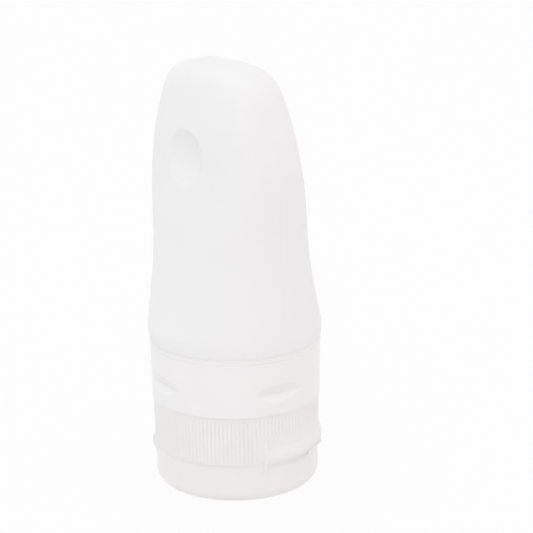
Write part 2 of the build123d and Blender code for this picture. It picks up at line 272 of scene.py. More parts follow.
# %% [markdown]
# ## Turned pieces
# Most of the hard pieces are turned: an outline in radius and height, swept round the axis. The
# outline is given by its corners. Each corner has a small round, as every moulded edge has, and a
# spacing that divides the run after it where the surface needs points to be shaped. The shaping
# function then moves points in or out as a function of angle and height, which is how notches,
# panels and lips are formed without cutting the mesh.

# %% Outline helper
large_round = 1
large_round_points, small_round_points = 17, 5


def soft_outline(corners):
    """Closed outline from corners of radius, level and, if not 0, round and following spacing."""
    corners = [(*corner, 0, 0)[:4] for corner in corners]
    points = [Vector(c[:2]) for c in corners]
    arcs = []
    for i, (_, _, rounding, _) in enumerate(corners):
        here, before, after = points[i], points[i - 1], points[(i + 1) % len(points)]
        if not rounding:
            arcs.append([here])
            continue
        start = here + (before - here).normalized() * rounding
        end = here + (after - here).normalized() * rounding
        pull = math.sin((before - here).angle(after - here) / 2)
        arc = []
        arc_points = small_round_points if rounding < large_round else large_round_points
        for t in np.linspace(0, 1, arc_points):
            shares = np.array([(1 - t) ** 2, 2 * t * (1 - t) * pull, t**2])
            shares /= shares.sum()
            arc.append(start * shares[0] + here * shares[1] + end * shares[2])
        arcs.append(arc)
    outline = []
    for i, arc in enumerate(arcs):
        outline += arc
        start, end = arc[-1], arcs[(i + 1) % len(arcs)][0]
        spacing = corners[i][3]
        count = int((end - start).length / spacing) if spacing else 0
        outline += [start.lerp(end, k / (count + 1)) for k in range(1, count + 1)]
    return np.array([tuple(p) for p in outline])


print("outline helper ready")

# %% [markdown]
# Every skin is then finished in one way: points that meet are merged where that is still needed,
# all faces look outwards, and edges that turn more than a given angle are shaded as sharp. A skin
# without open edges is closed. Where an outline ends on the axis, its last run becomes one loose
# edge without faces, which doesn't show.


# %% Skin helpers
def finish_skin(piece, sharp, merge=None):
    """Merges points where asked, turns the faces outwards and marks the sharp edges."""
    shape = bmesh.new()
    shape.from_mesh(piece.data)
    if merge:
        bmesh.ops.remove_doubles(shape, verts=shape.verts, dist=merge)
    bmesh.ops.recalc_face_normals(shape, faces=shape.faces)
    sides = [len(edge.link_faces) for edge in shape.edges]
    shape.to_mesh(piece.data)
    shape.free()
    piece.data.set_sharp_from_angle(angle=math.radians(sharp))
    open_edges = sum(count not in (0, 2) for count in sides)
    print(piece.name, "open edges:", open_edges, "loose edges:", sides.count(0))


def finished_mesh(name, points_mm, faces, material):
    """Mesh object in place, closed and smooth apart from its sharp edges."""
    mesh = bpy.data.meshes.new(name)
    mesh.from_pydata((np.asarray(points_mm) * MM).tolist(), [], faces)
    mesh.shade_smooth()
    mesh.materials.append(material)
    piece = new_object(name, mesh)
    finish_skin(piece, sharp=38, merge=0.0005 * MM)
    return piece


print("skin helpers ready")

# %% Turning helper
turn_step = 1.5


def turned(name, corners, material, angles=None, shaping=None):
    """Sweeps a soft outline round Z, shaped by a function of radius, level and angle."""
    outline = soft_outline(corners)
    angles = np.arange(0, 360, turn_step) if angles is None else angles
    radius = np.broadcast_to(outline[:, 0], (len(angles), len(outline)))
    level = np.broadcast_to(outline[:, 1], radius.shape)
    around = np.broadcast_to(np.asarray(angles)[:, None], radius.shape)
    if shaping:
        radius = shaping(radius, level, around)
    turn = np.radians(around)
    points = np.stack([radius * np.cos(turn), radius * np.sin(turn), level], axis=-1)
    rows, columns = radius.shape
    faces = []
    for i in range(rows):
        here, beside = i * columns, (i + 1) % rows * columns
        for j in range(columns):
            after = (j + 1) % columns
            faces.append((here + j, beside + j, beside + after, here + after))
    return finished_mesh(name, points.reshape(-1, 3), faces, material)


def from_direction(around, direction):
    """Signed angle in degrees from a direction, between -180 and 180."""
    return (around - direction + 180) % 360 - 180


def rounded_step(distance, width):
    """0 outside, 1 inside, with a quarter round of the given width in between."""
    t = np.clip(distance / width, 0, 1)
    return np.sqrt(1 - (1 - t) ** 2)


print("one column of points every", turn_step, "degrees")

# %% [markdown]
# ## Running a Geometry Nodes tree
# What repeats or follows a rule is made by a Geometry Nodes tree. Its sizes are named inputs. A
# modifier runs the tree once, the result is kept as a plain mesh, and the modifier goes.


# %% Tree helpers
def new_tree(name, **inputs):
    """Geometry Nodes tree with named inputs, and its group input and output nodes."""
    tree = bpy.data.node_groups.new(name, "GeometryNodeTree")
    tree.interface.new_socket("Geometry", in_out="INPUT", socket_type="NodeSocketGeometry")
    kinds = {float: "NodeSocketFloat", int: "NodeSocketInt"}
    for label, value in inputs.items():
        label = label.replace("_", " ")
        kind = kinds.get(type(value), "NodeSocketMaterial")
        socket = tree.interface.new_socket(label, in_out="INPUT", socket_type=kind)
        socket.default_value = value
    tree.interface.new_socket("Geometry", in_out="OUTPUT", socket_type="NodeSocketGeometry")
    source = add_node(tree, "NodeGroupInput")
    return tree, source.outputs, add_node(tree, "NodeGroupOutput")


def run_tree(name, tree, start_mesh=None, **values):
    """Runs the tree on a start mesh, or on an empty one, and returns a plain mesh object."""
    holder = new_object(name + "_start", start_mesh or bpy.data.meshes.new("empty"))
    modifier = holder.modifiers.new("tree", "NODES")
    modifier.node_group = tree
    for item in tree.interface.items_tree:
        label = item.name.replace(" ", "_")
        if item.in_out == "INPUT" and label in values:
            modifier[item.identifier] = values[label]
    depsgraph = bpy.context.evaluated_depsgraph_get()
    mesh = bpy.data.meshes.new_from_object(holder.evaluated_get(depsgraph))
    mesh.name = name
    bpy.data.objects.remove(holder)
    piece = new_object(name, mesh)
    print(name, "has", len(mesh.polygons), "faces")
    return piece


print("tree helpers ready")

# %% [markdown]
# The trees share some steps: arithmetic, a vector from its three parts, a flat grid whose points
# know how far along it they are, moving each grid point to its place, and the way a tree ends.


# %% Steps that the trees share
def maths_in(tree):
    """Function that adds a Math node to this tree and gives the node's output."""

    def calc(operation, *values):
        inputs = dict(enumerate(values))
        return add_node(tree, "ShaderNodeMath", inputs, operation=operation).outputs[0]

    return calc


def vector_of(tree, **parts):
    """Vector from its X, Y and Z parts, where a part left out is zero."""
    return add_node(tree, "ShaderNodeCombineXYZ", parts).outputs[0]


def share_grid(tree, columns, rows):
    """Flat grid, and each point's share of the way along it in X and in Y, from 0 to 1."""
    sizes = {"Size X": 1.0, "Size Y": 1.0, "Vertices X": columns, "Vertices Y": rows}
    grid = add_node(tree, "GeometryNodeMeshGrid", sizes)
    position = add_node(tree, "GeometryNodeInputPosition").outputs[0]
    flat = add_node(tree, "ShaderNodeSeparateXYZ", {0: position})
    x_share, y_share = (maths_in(tree)("ADD", flat.outputs[axis], 0.5) for axis in "XY")
    return grid.outputs["Mesh"], x_share, y_share


def shaped_grid(tree, grid, merge, **parts):
    """Grid with every point moved to its X, Y and Z, and the points that meet merged."""
    inputs = {"Geometry": grid, "Position": vector_of(tree, **parts)}
    moved = add_node(tree, "GeometryNodeSetPosition", inputs)
    inputs = {"Geometry": moved.outputs[0], "Distance": merge}
    return add_node(tree, "GeometryNodeMergeByDistance", inputs).outputs[0]


def end_tree(tree, result, geometry, material):
    """Realizes instances, smooths the shading, sets the material and fills the tree's output."""
    real = add_node(tree, "GeometryNodeRealizeInstances", {"Geometry": geometry})
    smooth = add_node(tree, "GeometryNodeSetShadeSmooth", {"Geometry": real.outputs[0]})
    inputs = {"Geometry": smooth.outputs[0], "Material": material}
    coloured = add_node(tree, "GeometryNodeSetMaterial", inputs)
    tree.links.new(coloured.outputs[0], result.inputs["Geometry"])
    print(tree.name, "has", len(tree.nodes), "nodes")


print("shared steps ready")

# %% [markdown]
# ## The silicone bottle
# The bottle follows a rule: every level section is a superellipse, round at the shoulder and
# squarer towards the top, whose half length, half width and lean change with height. So the
# profile is worked out once as a line of points that carry these values, and a Geometry Nodes tree
# sweeps a section through each point. The line runs from the inside of the domed end down the
# inner wall, round the mouth, and up the outer wall, so the result is one closed solid skin.


# %% Profile of the silicone
def smooth_curve(knots, values):
    """Natural cubic spline through the values, as a function of one array."""
    x, y = np.array(knots, float), np.array(values, float)
    h, n = np.diff(x), len(x)
    system, target = np.eye(n), np.zeros(n)
    for i in range(1, n - 1):
        system[i, i - 1 : i + 2] = h[i - 1], 2 * (h[i - 1] + h[i]), h[i]
        target[i] = 3 * ((y[i + 1] - y[i]) / h[i] - (y[i] - y[i - 1]) / h[i - 1])
    bend = np.linalg.solve(system, target)
    rise = np.diff(y) / h - h * (2 * bend[:-1] + bend[1:]) / 3

    def curve(at):
        i = np.clip(np.searchsorted(x, at) - 1, 0, n - 2)
        t = at - x[i]
        return y[i] + rise[i] * t + bend[i] * t**2 + np.diff(bend)[i] / (3 * h[i]) * t**3

    return curve


section_levels = (49, 58, 70, 84, 98, 112, 124)
half_length = smooth_curve(section_levels, (25.72, 25.3, 24.8, 25.1, 25.3, 22.3, 19.3))
half_width = smooth_curve(section_levels, (25.72, 22.7, 19.4, 17.2, 14.9, 13.3, 9.6))
dome_foot = 114.0
dome_power = 4.0
wall = 2.6
dome_wall = 3.0
straight_rows, side_rows, end_rows = 110, 40, 12
side_turn = 1.42
end_size = 0.38
slope_step = 0.01


def wall_rows(top, inset):
    """Half length, half width, level and inset of the upper wall, from the shoulder to the tip."""
    rows = []
    for level in np.linspace(shoulder_top, dome_foot, straight_rows):
        rows.append((half_length(level) - inset, half_width(level) - inset, level, inset))
    sides = np.sin(np.linspace(0, side_turn, side_rows)[1:])
    end_sizes = np.linspace(end_size, 0, end_rows)
    rise = np.concatenate([sides, (1 - end_sizes**dome_power) ** (1 / dome_power)])
    above, below = dome_foot + slope_step, dome_foot - slope_step
    slopes = [(f(above) - f(below)) / (2 * slope_step) for f in (half_length, half_width)]
    for share in np.sort(rise):
        shrink = max(0.0, 1 - share**dome_power) ** (1 / dome_power)
        climb = (body_top - dome_foot) * share
        length = (half_length(dome_foot) + slopes[0] * climb - inset) * shrink
        width = (half_width(dome_foot) + slopes[1] * climb - inset) * shrink
        rows.append((length, width, dome_foot + (top - dome_foot) * share, inset))
    return rows


print("half width at the dome's foot:", round(float(half_width(dome_foot)), 2), "mm")

# %% [markdown]
# At the mouth the silicone reaches down inside the collar. Its shoulder's lower edge is let into
# the collar a little, so that no dark gap shows between the two.

# %% Mouth, shoulder and the whole profile
edge_let_in = 0.12
edge_level = collar_top - edge_let_in
shoulder_radius, shoulder_swell, shoulder_steps = 25.38, 0.34, 14
shoulder_rows = []
for share in np.linspace(0, 1, shoulder_steps)[:-1]:
    swell = shoulder_radius + shoulder_swell * (1 - (1 - share) ** 2)
    shoulder_rows.append((swell, swell, edge_level + (shoulder_top - edge_level) * share, 0.0))
mouth_corners = [
    (21.05, 46.0, wall),
    (21.05, 38.0, wall),
    (21.05, flange_top + 0.3, wall),
    (21.35, flange_top, wall),
    (23.3, flange_top, 0.0),
    (23.6, flange_top + 0.3, 0.0),
    (23.6, 42.75, 0.0),
    (22.5, 42.75, 0.0),
    (22.5, edge_level, 0.0),
]
mouth_rows = [(radius, radius, level, inset) for radius, level, inset in mouth_corners]
inner_rows = wall_rows(body_top - dome_wall, wall)[::-1]
profile = np.array(inner_rows + mouth_rows + shoulder_rows + wall_rows(body_top, 0.0))
print("profile has", len(profile), "rows")

# %% [markdown]
# A mesh without faces can carry the profile: one vertex per row, with a named attribute for each
# value. The tree reads them back by row number.

# %% Profile as a mesh with attributes
lean_per_mm = -0.0363
squaring_height = 45
profile_level = profile[:, 2]
lean = lean_per_mm * (profile_level - collar_top)
profile_mesh = bpy.data.meshes.new("silicone_profile")
profile_mesh.from_pydata([(0, 0, z * MM) for z in profile_level], [], [])
for label, values in (
    ("half_length", profile[:, 0] * MM),
    ("half_width", profile[:, 1] * MM),
    ("level", profile_level * MM),
    ("inset", profile[:, 3] * MM),
    ("lean", np.where(profile_level > shoulder_top, lean, 0) * MM),
    ("squareness", 2 + np.clip((profile_level - shoulder_top) / squaring_height, 0, 1)),
):
    column = profile_mesh.attributes.new(label, "FLOAT", "POINT")
    column.data.foreach_set("value", values.astype(np.float32))
print("attributes:", [a.name for a in profile_mesh.attributes])

# %% [markdown]
# The tree makes a flat grid, whose columns become angles and whose rows become levels, and moves
# each point to its place on the section. The suction cup is a ball pushed into the wall: points
# inside the ball move out to its surface, with a smooth maximum that rounds the cup's rim. The
# inner wall meets a ball that is larger by the wall's thickness, so the silicone behind the cup is
# as thick as elsewhere. Two faint ridges run up the narrow sides, where the mould's halves met.

# %% Tree for the silicone
sweep, given, result = new_tree(
    "swept_silicone",
    Steps_round=256,
    Cup_level=102.37 * MM,
    Cup_ball=12.3 * MM,
    Cup_stand=-26.05 * MM,
    Rim_round=0.4 * MM,
    Parting_ridge=0.03 * MM,
    Ridge_sharpness=1500.0,
    Merge_distance=0.0008 * MM,
    Silicone=silicone,
)
calc = maths_in(sweep)
rows = add_node(sweep, "GeometryNodeAttributeDomainSize", {"Geometry": given["Geometry"]})
row_count = rows.outputs["Point Count"]
grid, turn_share, row_share = share_grid(sweep, calc("ADD", given["Steps round"], 1), row_count)
row = calc("ROUND", calc("MULTIPLY", row_share, calc("SUBTRACT", row_count, 1)))
angle = calc("MULTIPLY", turn_share, 2 * math.pi)
across = calc("COSINE", angle)
along = calc("SINE", angle)


def row_value(label):
    """Value of one profile attribute at this point's row."""
    named = add_node(sweep, "GeometryNodeInputNamedAttribute", {"Name": label}, data_type="FLOAT")
    return add_node(sweep, "GeometryNodeSampleIndex", {
        "Geometry": given["Geometry"], "Value": named.outputs["Attribute"], "Index": row,
    }, data_type="FLOAT").outputs[0]


power = row_value("squareness")
across_power = calc("POWER", calc("ABSOLUTE", across), power)
along_power = calc("POWER", calc("ABSOLUTE", along), power)
reach = calc("POWER", calc("ADD", across_power, along_power), calc("DIVIDE", -1, power))
seam = calc("POWER", calc("ABSOLUTE", across), given["Ridge sharpness"])
ridge = calc("MULTIPLY", seam, given["Parting ridge"])
outside = calc("LESS_THAN", row_value("inset"), wall * MM / 2)
length = calc("ADD", row_value("half_length"), calc("MULTIPLY", ridge, outside))
x_place = calc("MULTIPLY", calc("MULTIPLY", length, across), reach)
y_section = calc("MULTIPLY", calc("MULTIPLY", row_value("half_width"), along), reach)
y_place = calc("ADD", y_section, row_value("lean"))
level = row_value("level")
print("section nodes:", len(sweep.nodes))

# %% Suction cup and closing of the skin
ball = calc("ADD", given["Cup ball"], row_value("inset"))
off_level = calc("SUBTRACT", level, given["Cup level"])
spread = calc("ADD", calc("MULTIPLY", x_place, x_place), calc("MULTIPLY", off_level, off_level))
inside = calc("SUBTRACT", calc("MULTIPLY", ball, ball), spread)
bulge = calc("SQRT", calc("MAXIMUM", inside, 0))
ball_face = calc("ADD", bulge, given["Cup stand"])
dished = calc("SMOOTH_MAX", y_place, ball_face, given["Rim round"])
front = calc("LESS_THAN", along, 0)
change = calc("MULTIPLY", calc("SUBTRACT", dished, y_place), front)
y_dished = calc("ADD", y_place, change)
skin = shaped_grid(sweep, grid, given["Merge distance"], X=x_place, Y=y_dished, Z=level)
end_tree(sweep, result, skin, given["Silicone"])
bottle = run_tree("silicone_bottle", sweep, profile_mesh)
finish_skin(bottle, sharp=50)
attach(bottle, "bottle")
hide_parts("bottle_body")

# %% [markdown]
# ## The collar and its finger notches
# The collar is a turned ring with a hook at each end: the lower one holds the neck's flange and the
# upper one grips the silicone. Four lens-shaped notches give the fingers a hold. Each notch is a
# pocket with a slanting shelf below a crease and a hollow back above it, which lies in its own
# shade. The shaping function takes the smaller of the wall's radius and the pocket's distance, so
# the lens shape comes by itself where the two meet.

# %% Collar
notch_directions = [-6.5 + 90 * k for k in range(4)]
notch_half_span = 40
notch_level = 33.15
notch_crease = 23.95
notch_depth = 1.4
notch_shelf_height = 2.6
notch_back_height, notch_back_power = 3.3, 1.8
notch_blend = 0.05
notched_wall = 24.5
exponent_limit = 60


def notched(radius, level, around):
    """Wall radius with the four finger notches, softly blended."""
    above = np.maximum(level - notch_level, 0) / notch_back_height
    back = notch_depth * above**notch_back_power
    shelf = np.maximum(notch_level - level, 0) * notch_depth / notch_shelf_height
    shaped = radius.copy()
    for direction in notch_directions:
        turn = from_direction(around, direction)
        near = (np.abs(turn) < notch_half_span) & (radius > notched_wall)
        slant = np.cos(np.radians(np.clip(turn, -notch_half_span, notch_half_span)))
        pocket = (notch_crease + back + shelf) / slant
        excess = np.clip((shaped - pocket) / notch_blend, -exponent_limit, exponent_limit)
        dip = shaped - notch_blend * np.log1p(np.exp(excess))
        shaped = np.where(near, dip, shaped)
    return shaped


collar = turned("finger_collar", [
    (23.05, collar_foot, 0.1),
    (25.0, collar_foot, 0.07, 0.3),
    (25.275, 43.25, 0.1),
    (25.16, 43.36),
    (25.4, 43.5, 0.1, 0.5),
    (25.4, collar_top, 0.06, 0.6),
    (22.55, collar_top, 0.15),
    (22.55, 42.8, 0.1),
    (23.65, 42.8, 0, 2.0),
    (23.65, 28.4),
    (23.05, 28.4, 0.1),
], white_polypropylene, angles=np.arange(0, 360, turn_step / 2), shaping=notched)
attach(collar, "bottle")
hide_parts("grip_collar")

# %% [markdown]
# ## The raised panel round the hinge
# The cap's skirt bulges round the hinge as a smooth raised panel, and the lid's rim curls up to
# meet it. Both pieces use one profile: radius against height. A narrow bead runs down each end of
# the panel and on over the lid. In the middle sits a flat lug 12 mm wide, which carries the hinge
# film, with a shallow groove on each side of it.

# %% Panel profile
panel_levels = (9.9, 10.3, 10.7, 11.1, 11.6, 12.0, 12.6, 13.3, 14.1, 14.9, 15.5, 16.1, 16.7, 17.1)
panel_radii = (
    23.9, 24.1, 24.4, 24.7, 25.0, 25.2, 25.38, 25.5, 25.52, 25.32, 25.05, 24.75, 24.48, 24.3,
)
panel_edge = 1.2
panel_end = panel_half_angle + panel_edge
panel_drop, drop_start, drop_span = 0.45, 24, 18
bead_half_angle, bead_height = 1.5, 0.5
bead_foot, bead_foot_round = 8.4, 1.2
bead_top, bead_top_round = 18.8, 2.4
print("panel from", hinge_angle - panel_half_angle, "to", hinge_angle + panel_half_angle)

# %% Lug and groove sizes
lug_levels = (10.3, 10.8, 11.3, 12.6, 14.5, 16.6, 17.0)
lug_reaches = (23.2, 24.2, 24.75, 24.85, 24.8, 24.2, 23.2)
lug_half_angle, lug_flat_angle = 16, 20
lug_edge = 1.6
groove_middle, groove_half_width, groove_edge = 6.7, 0.7, 0.5
groove_foot, groove_foot_round = 7.9, 0.8
groove_top, groove_top_round = 11.4, 1.2
groove_depth = 0.22
groove_half_angle = 40
outer_wall = 23.9
skirt_middle_radius = 24.5


def between(level, foot, foot_round, top, top_round):
    """1 between two levels and 0 beyond them, with a quarter round at each."""
    return rounded_step(level - foot, foot_round) * rounded_step(top - level, top_round)


def with_panel(radius, level, around):
    """Outer wall with the two side panels, their end beads and the flat lug of the hinge."""
    size = np.abs(from_direction(around, hinge_angle))
    swell = np.maximum(np.interp(level, panel_levels, panel_radii, left=0, right=0), radius)
    swell = swell - (swell - radius) * panel_drop * np.clip((size - drop_start) / drop_span, 0, 1)
    side = radius + (swell - radius) * rounded_step(panel_end - size, panel_edge)
    bead = np.sqrt(np.clip(1 - ((size - panel_end) / bead_half_angle) ** 2, 0, 1))
    bead_ends = between(level, bead_foot, bead_foot_round, bead_top, bead_top_round)
    side = side + bead_height * bead * bead_ends
    beside = np.sin(np.radians(size)) * skirt_middle_radius
    groove = rounded_step(groove_half_width - np.abs(beside - groove_middle), groove_edge)
    groove = groove * (size < groove_half_angle)
    groove = groove * between(level, groove_foot, groove_foot_round, groove_top, groove_top_round)
    side = side - groove_depth * groove
    slant = np.radians(np.minimum(size, lug_flat_angle))
    flat = np.interp(level, lug_levels, lug_reaches, left=0, right=0) / np.cos(slant)
    face = rounded_step(hinge_half_width - flat * np.sin(slant), lug_edge)
    face = np.where(size < lug_half_angle, face, 0)
    shaped = side + (np.maximum(flat, radius) - side) * face
    return np.where(radius > outer_wall, shaped, radius)


print("lug", 2 * hinge_half_width, "mm wide")

# %% [markdown]
# A turned piece has a column of points every 1.5 degrees. The lug's edges and the end beads are
# too narrow for that, so the angles are set closer together there.

# %% Angles of the pieces with a panel
fine_step = 0.25
lug_angles = np.arange(-17.5, 17.6, fine_step)
end_angles = panel_end - np.arange(-2.0, 3.1, fine_step)
panel_angles = np.concatenate(
    [np.arange(0, 360, turn_step)]
    + [hinge_angle + part for part in (lug_angles, end_angles, -end_angles)]
)
panel_angles = np.unique(np.round(panel_angles % 360, 3))
print(len(panel_angles), "angles")

# %% [markdown]
# ## The screw cap
# One moulding holds the skirt, the deck that closes it, a ring that the lid snaps on, and the seat
# that hangs below the deck and holds the valve. It is turned as one outline.

# %% Screw cap
cap = turned("ribbed_cap", [
    (5.6, 8.2, 0.3),
    (9.6, 8.2, 0.4),
    (9.6, deck_foot, 0.4),
    (21.2, deck_foot, 0.2),
    (21.2, 10.5, 0.3),
    (22.5, 10.5, 0.35),
    (22.6, 11.2, 0.1),
    (22.5, skirt_foot, 0.2),
    (24.45, skirt_foot, 0.08, 0.3),
    (24.6, skirt_top, 0.06),
    (skirt_bore, skirt_top, 0.2),
    (skirt_bore, deck_top, 0.3),
    (8.0, deck_top, 0.2),
    (8.0, 9.6),
    (5.6, 9.6, 0.1),
], natural_polypropylene, angles=panel_angles, shaping=with_panel)
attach(cap, "cap")
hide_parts("screw_cap")

# %% [markdown]
# ## Grip ribs by Geometry Nodes
# The skirt has 128 fine upright ribs. A circle gives one point per rib, and an eight-sided bar is
# instanced on each point, leaning out by the skirt's draft so that it stands equally proud all the
# way up. Above the hinge panel the ribs are short, so the tree makes a long and a short bar and
# picks one by the point's angle from the hinge.

# %% Rib tree
ribs, given, result = new_tree(
    "skirt_ribs",
    Rib_count=128,
    Skirt_radius=24.33 * MM,
    Skirt_draft=0.01,
    Rib_half_width=0.4 * MM,
    Rib_height=0.055 * MM,
    Rib_foot=12.4 * MM,
    Short_rib_foot=20.4 * MM,
    Rib_top=25.6 * MM,
    Hinge_direction=math.radians(hinge_angle),
    Short_rib_half_angle=math.radians(53.0),
    Plastic=rib_polypropylene,
)
calc = maths_in(ribs)


def rib_bar(foot):
    """Upright bar from a foot level to the ribs' top, flattened, as an instance."""
    height = calc("SUBTRACT", given["Rib top"], foot)
    middle = calc("DIVIDE", calc("ADD", given["Rib top"], foot), 2)
    out = calc("MULTIPLY", middle, given["Skirt draft"])
    sizes = {"Vertices": 8, "Radius": 1.0, "Depth": height}
    bar = add_node(ribs, "GeometryNodeMeshCylinder", sizes)
    section = {"X": given["Rib height"], "Y": given["Rib half width"], "Z": 1.0}
    placing = {
        "Geometry": bar.outputs["Mesh"],
        "Translation": vector_of(ribs, X=out, Z=middle),
        "Rotation": vector_of(ribs, Y=given["Skirt draft"]),
        "Scale": vector_of(ribs, **section),
    }
    placed_bar = add_node(ribs, "GeometryNodeTransform", placing).outputs[0]
    return add_node(ribs, "GeometryNodeGeometryToInstance", {0: placed_bar}).outputs[0]


both = add_node(ribs, "GeometryNodeJoinGeometry")
long_rib, short_rib = rib_bar(given["Rib foot"]), rib_bar(given["Short rib foot"])
ribs.links.new(short_rib, both.inputs[0])
ribs.links.new(long_rib, both.inputs[0])
print("bars for long and short ribs ready")

# %% Ribs round the skirt
sizes = {"Vertices": given["Rib count"], "Radius": given["Skirt radius"]}
circle = add_node(ribs, "GeometryNodeMeshCircle", sizes)
number = add_node(ribs, "GeometryNodeInputIndex").outputs[0]
rib_turn = calc("MULTIPLY", number, calc("DIVIDE", 2 * math.pi, given["Rib count"]))
from_hinge = calc("SUBTRACT", rib_turn, given["Hinge direction"])
wrapped = calc("ARCCOSINE", calc("COSINE", from_hinge))
placed = add_node(ribs, "GeometryNodeInstanceOnPoints", {
    "Points": circle.outputs["Mesh"],
    "Instance": both.outputs[0],
    "Pick Instance": True,
    "Instance Index": calc("LESS_THAN", wrapped, given["Short rib half angle"]),
    "Rotation": vector_of(ribs, Z=rib_turn),
})
end_tree(ribs, result, placed.outputs[0], given["Plastic"])
skirt_ribs = run_tree("skirt_ribs", ribs)
skirt_ribs.data.set_sharp_from_angle(angle=math.radians(60))
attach(skirt_ribs, "cap")

# %% [markdown]
# ## Screw threads by Geometry Nodes
# The thread is right-handed with two starts and a lead of 9 mm. One start is a grid whose long
# direction follows the helix and whose short direction goes round a trapezoid. At both ends the
# trapezoid shrinks to a point, as a moulded thread fades in and out. A two-point line instances
# the start twice, half a turn apart. The neck's ridges point out and the cap's point in. The cap's
# lie 1.05 mm nearer the bottle, on the side where they press when the cap is done up. Ridges of
# this width need 1.25 mm, so here their flanks run 0.2 mm into each other, out of sight.

# %% Thread tree
thread_foot = 17.0
thread_depth = 1.2
thread_bury = 0.2
thread, given, result = new_tree(
    "screw_thread",
    Starts=2,
    Steps=260,
    Lead=9.0 * MM,
    Turns=0.72,
    Foot=thread_foot * MM,
    Root_radius=thread_root * MM,
    Depth=thread_depth * MM,
    Root_width=2.0 * MM,
    Bury=thread_bury * MM,
    Fade_rate=9.0,
    Merge_distance=0.001 * MM,
    Plastic=white_polypropylene,
)
calc = maths_in(thread)
corner_count = 7
grid, along_share, corner_share = share_grid(thread, given["Steps"], corner_count)
corner = calc("ROUND", calc("MULTIPLY", corner_share, corner_count - 1))


def by_corner(values):
    """Piecewise value for the seven corners of the trapezoid's outline."""
    total = None
    for number, value in enumerate(values):
        if value:
            here = calc("COMPARE", corner, float(number), 0.1)
            part = calc("MULTIPLY", here, value)
            total = calc("ADD", total, part) if total else part
    return total


out_share = by_corner((0, 0, 1.0, 1.0, 0, 0, 0))
bury_share = by_corner((1.0, 0, 0, 0, 0, 1.0, 1.0))
width_share = by_corner((-0.5, -0.5, -0.2, 0.2, 0.5, 0.5, -0.5))
print("trapezoid nodes:", len(thread.nodes))

# %% Winding the thread
ends = calc("MINIMUM", along_share, calc("SUBTRACT", 1.0, along_share))
fade = calc("SQRT", calc("MINIMUM", calc("MULTIPLY", ends, given["Fade rate"]), 1.0))
out = calc("MULTIPLY", out_share, given["Depth"])
out = calc("SUBTRACT", out, calc("MULTIPLY", bury_share, given["Bury"]))
radius = calc("ADD", given["Root radius"], calc("MULTIPLY", out, fade))
turns = calc("MULTIPLY", along_share, given["Turns"])
turn = calc("MULTIPLY", turns, 2 * math.pi)
climb = calc("MULTIPLY", turns, given["Lead"])
width = calc("MULTIPLY", calc("MULTIPLY", width_share, given["Root width"]), fade)
height = calc("ADD", calc("ADD", given["Foot"], climb), width)
x_place = calc("MULTIPLY", radius, calc("COSINE", turn))
y_place = calc("MULTIPLY", radius, calc("SINE", turn))
one_start = shaped_grid(thread, grid, given["Merge distance"], X=x_place, Y=y_place, Z=height)
sizes = {"Count": given["Starts"], "Offset": (0.0, 0.0, 0.0)}
origins = add_node(thread, "GeometryNodeMeshLine", sizes)
number = add_node(thread, "GeometryNodeInputIndex").outputs[0]
start_turn = calc("DIVIDE", calc("MULTIPLY", number, 2 * math.pi), given["Starts"])
placed = add_node(thread, "GeometryNodeInstanceOnPoints", {
    "Points": origins.outputs["Mesh"],
    "Instance": one_start,
    "Rotation": vector_of(thread, Z=start_turn),
})
end_tree(thread, result, placed.outputs[0], given["Plastic"])


# %% Neck and cap threads
def closed_thread(name, **values):
    """Thread ridges as a closed mesh that faces outwards."""
    piece = run_tree(name, thread, **values)
    finish_skin(piece, sharp=30, merge=0.001 * MM)
    return piece


cap_thread_rise = 1.05
neck_thread = closed_thread("neck_thread")
cap_thread = closed_thread(
    "cap_thread",
    Foot=(thread_foot + cap_thread_rise) * MM,
    Turns=0.62,
    Root_radius=skirt_bore * MM,
    Depth=-thread_depth * MM,
    Bury=-thread_bury * MM,
    Plastic=natural_polypropylene,
)
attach(neck_thread, "bottle")
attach(cap_thread, "cap")

# %% [markdown]
# ## The neck, the sealing ring, the valve and its ring
# The neck is a stiff tube. Its barbed sleeve grips the silicone and its flange sits in the collar.
# The sealing ring lies on the cap's deck.

# %% Neck and sealing ring
neck = turned("threaded_neck", [
    (19.5, neck_end, 0.3),
    (thread_root, neck_end, 0.4),
    (thread_root, 25.2, 0.2),
    (22.92, 25.2, 0.2),
    (22.92, 28.4),
    (23.5, 28.4, 0.1),
    (23.5, flange_top, 0.1),
    (21.0, flange_top),
    (21.0, 33.35),
    (21.5, 33.35, 0.08),
    (21.0, 34.85),
    (21.0, 38.04),
    (21.5, 38.04, 0.08),
    (21.0, 39.54),
    (21.0, sleeve_top, 0.4),
    (19.5, sleeve_top, 0.4),
], white_polypropylene)
seal = turned("sealing_ring", [
    (19.8, deck_top, 0.15),
    (22.6, deck_top, 0.15),
    (22.6, neck_end, 0.15),
    (19.8, neck_end, 0.15),
], seal_silicone)

# %% [markdown]
# The valve is a thin silicone dome with a cross cut in it: it opens when the bottle is squeezed and
# closes by itself, and a pressed-in ring holds it. A closed cut only shows as a fine crease, so the
# dome's points near the two lines of the cross are sunk in.

# %% Valve and its ring
valve_seat, valve_top, valve_radius = 9.6, 10.8, 7.95
dome_radius, dome_height = 5.3, 2.6
hollow_radius, hollow_height = 4.4, 1.7
dome_bow = 1.6


def dome_corners(radius, height, turns):
    """Corners down or up one face of the valve's dome."""
    return [(radius * math.sin(t), valve_seat - height * math.cos(t) ** dome_bow) for t in turns]


